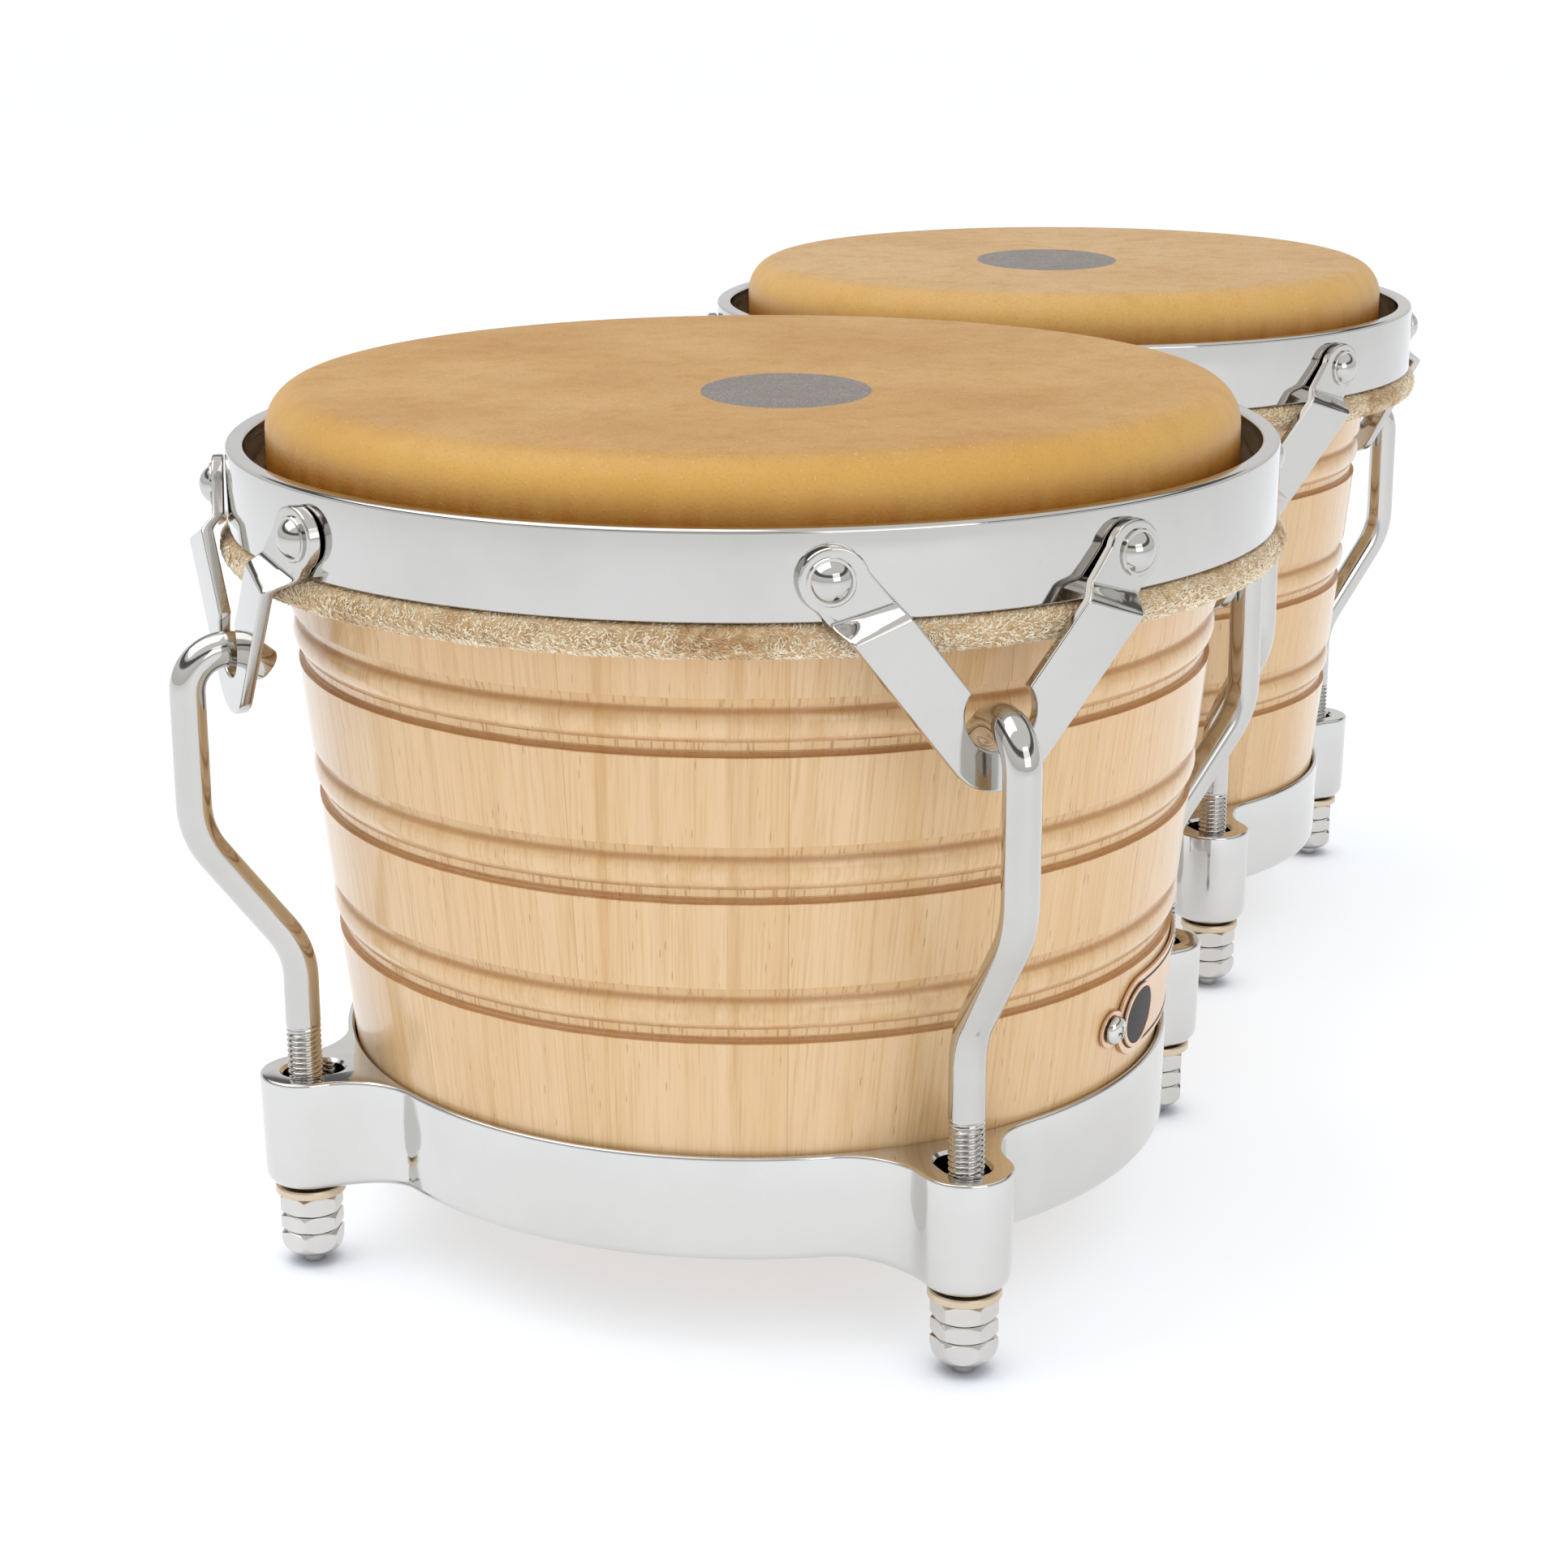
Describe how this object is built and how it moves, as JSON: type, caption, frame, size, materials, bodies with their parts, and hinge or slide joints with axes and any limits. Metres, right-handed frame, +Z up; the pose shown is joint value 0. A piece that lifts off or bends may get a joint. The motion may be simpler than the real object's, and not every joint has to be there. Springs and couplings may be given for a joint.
{
  "type": "bongo drums",
  "caption": "Pair of tapered wooden hand drums joined by a centre block, each with a skin head pulled down by a steel rim, V claws and hooked tension rods.",
  "frame": {"origin": "on the surface the tension rods' tips stand on, below the middle of the pair's bounding box", "axes": "+X from the large drum to the small drum, +Z up out of the heads, the badge on the -Y side"},
  "size_m": [0.471, 0.2414, 0.197],
  "materials": {
    "shell_wood": "clear gloss lacquer over pale vertical-grain staves",
    "block_wood": "clear satin lacquer",
    "chrome": "polished chrome plating",
    "nickel": "bright nickel plating, slightly duller than the chrome",
    "zinc_steel": "zinc plated steel",
    "head_skin": "amber rawhide-look drum head, fine grain, semi-matt",
    "rawhide": "mottled rawhide wrap with short stiff hair",
    "copper_plate": "brushed rose-coloured metal plate",
    "dark_enamel": "dark gloss enamel"
  },
  "bodies": {
    "root": {"large_shell": "shell_wood", "large_bottom_ring": "chrome", "large_head": "head_skin", "large_bridge_washer": "zinc_steel", "large_bridge_bolt": "zinc_steel", "large_lug_washer_1": "nickel", "large_lug_washer_2": "nickel", "large_lug_washer_3": "nickel", "large_lug_washer_4": "nickel", "small_shell": "shell_wood", "small_bottom_ring": "chrome", "small_head": "head_skin", "small_bridge_washer": "zinc_steel", "small_bridge_bolt": "zinc_steel", "small_lug_washer_1": "nickel", "small_lug_washer_2": "nickel", "small_lug_washer_3": "nickel", "small_lug_washer_4": "nickel", "centre_block": "block_wood", "badge_plate": "copper_plate", "badge_medallion": "dark_enamel", "badge_screw_1": "nickel", "badge_screw_2": "nickel"},
    "large_hoop": {"large_rim": "chrome", "large_flesh_hoop": "rawhide", "large_claw_1": "chrome", "large_claw_2": "chrome", "large_claw_3": "chrome", "large_claw_4": "chrome", "large_tension_rod_1": "chrome", "large_tension_rod_2": "chrome", "large_tension_rod_3": "chrome", "large_tension_rod_4": "chrome"},
    "large_nut_1": {"large_tuning_nuts_1": "nickel", "large_domed_nut_1": "nickel"},
    "large_nut_2": {"large_tuning_nuts_2": "nickel", "large_domed_nut_2": "nickel"},
    "large_nut_3": {"large_tuning_nuts_3": "nickel", "large_domed_nut_3": "nickel"},
    "large_nut_4": {"large_tuning_nuts_4": "nickel", "large_domed_nut_4": "nickel"},
    "small_hoop": {"small_rim": "chrome", "small_flesh_hoop": "rawhide", "small_claw_1": "chrome", "small_claw_2": "chrome", "small_claw_3": "chrome", "small_claw_4": "chrome", "small_tension_rod_1": "chrome", "small_tension_rod_2": "chrome", "small_tension_rod_3": "chrome", "small_tension_rod_4": "chrome"},
    "small_nut_1": {"small_tuning_nuts_1": "nickel", "small_domed_nut_1": "nickel"},
    "small_nut_2": {"small_tuning_nuts_2": "nickel", "small_domed_nut_2": "nickel"},
    "small_nut_3": {"small_tuning_nuts_3": "nickel", "small_domed_nut_3": "nickel"},
    "small_nut_4": {"small_tuning_nuts_4": "nickel", "small_domed_nut_4": "nickel"}
  },
  "joints": [
    {"name": "large_tuning", "type": "slide", "parent": "root", "child": "large_hoop", "axis": [0, 0, 1], "range_m": [-0.005, 0.003]},
    {"name": "large_nut_turn_1", "type": "hinge", "parent": "root", "child": "large_nut_1", "pos_m": [-0.19356, -0.07856, 0.0115], "axis": [0, 0, 1], "range_deg": [-780, 1290]},
    {"name": "large_nut_turn_2", "type": "hinge", "parent": "root", "child": "large_nut_2", "pos_m": [-0.03644, -0.07856, 0.0115], "axis": [0, 0, 1], "range_deg": [-780, 1290]},
    {"name": "large_nut_turn_3", "type": "hinge", "parent": "root", "child": "large_nut_3", "pos_m": [-0.03644, 0.07856, 0.0115], "axis": [0, 0, 1], "range_deg": [-780, 1290]},
    {"name": "large_nut_turn_4", "type": "hinge", "parent": "root", "child": "large_nut_4", "pos_m": [-0.19356, 0.07856, 0.0115], "axis": [0, 0, 1], "range_deg": [-780, 1290]},
    {"name": "small_tuning", "type": "slide", "parent": "root", "child": "small_hoop", "axis": [0, 0, 1], "range_m": [-0.005, 0.003]},
    {"name": "small_nut_turn_1", "type": "hinge", "parent": "root", "child": "small_nut_1", "pos_m": [0.06354, -0.06746, 0.0115], "axis": [0, 0, 1], "range_deg": [-780, 1290]},
    {"name": "small_nut_turn_2", "type": "hinge", "parent": "root", "child": "small_nut_2", "pos_m": [0.19846, -0.06746, 0.0115], "axis": [0, 0, 1], "range_deg": [-780, 1290]},
    {"name": "small_nut_turn_3", "type": "hinge", "parent": "root", "child": "small_nut_3", "pos_m": [0.19846, 0.06746, 0.0115], "axis": [0, 0, 1], "range_deg": [-780, 1290]},
    {"name": "small_nut_turn_4", "type": "hinge", "parent": "root", "child": "small_nut_4", "pos_m": [0.06354, 0.06746, 0.0115], "axis": [0, 0, 1], "range_deg": [-780, 1290]}
  ],
  "couplings": [
    {"joint": "large_nut_turn_1", "follows": "large_tuning", "rad_per_m": -4452.6},
    {"joint": "large_nut_turn_2", "follows": "large_tuning", "rad_per_m": -4452.6},
    {"joint": "large_nut_turn_3", "follows": "large_tuning", "rad_per_m": -4452.6},
    {"joint": "large_nut_turn_4", "follows": "large_tuning", "rad_per_m": -4452.6},
    {"joint": "small_nut_turn_1", "follows": "small_tuning", "rad_per_m": -4452.6},
    {"joint": "small_nut_turn_2", "follows": "small_tuning", "rad_per_m": -4452.6},
    {"joint": "small_nut_turn_3", "follows": "small_tuning", "rad_per_m": -4452.6},
    {"joint": "small_nut_turn_4", "follows": "small_tuning", "rad_per_m": -4452.6}
  ]
}
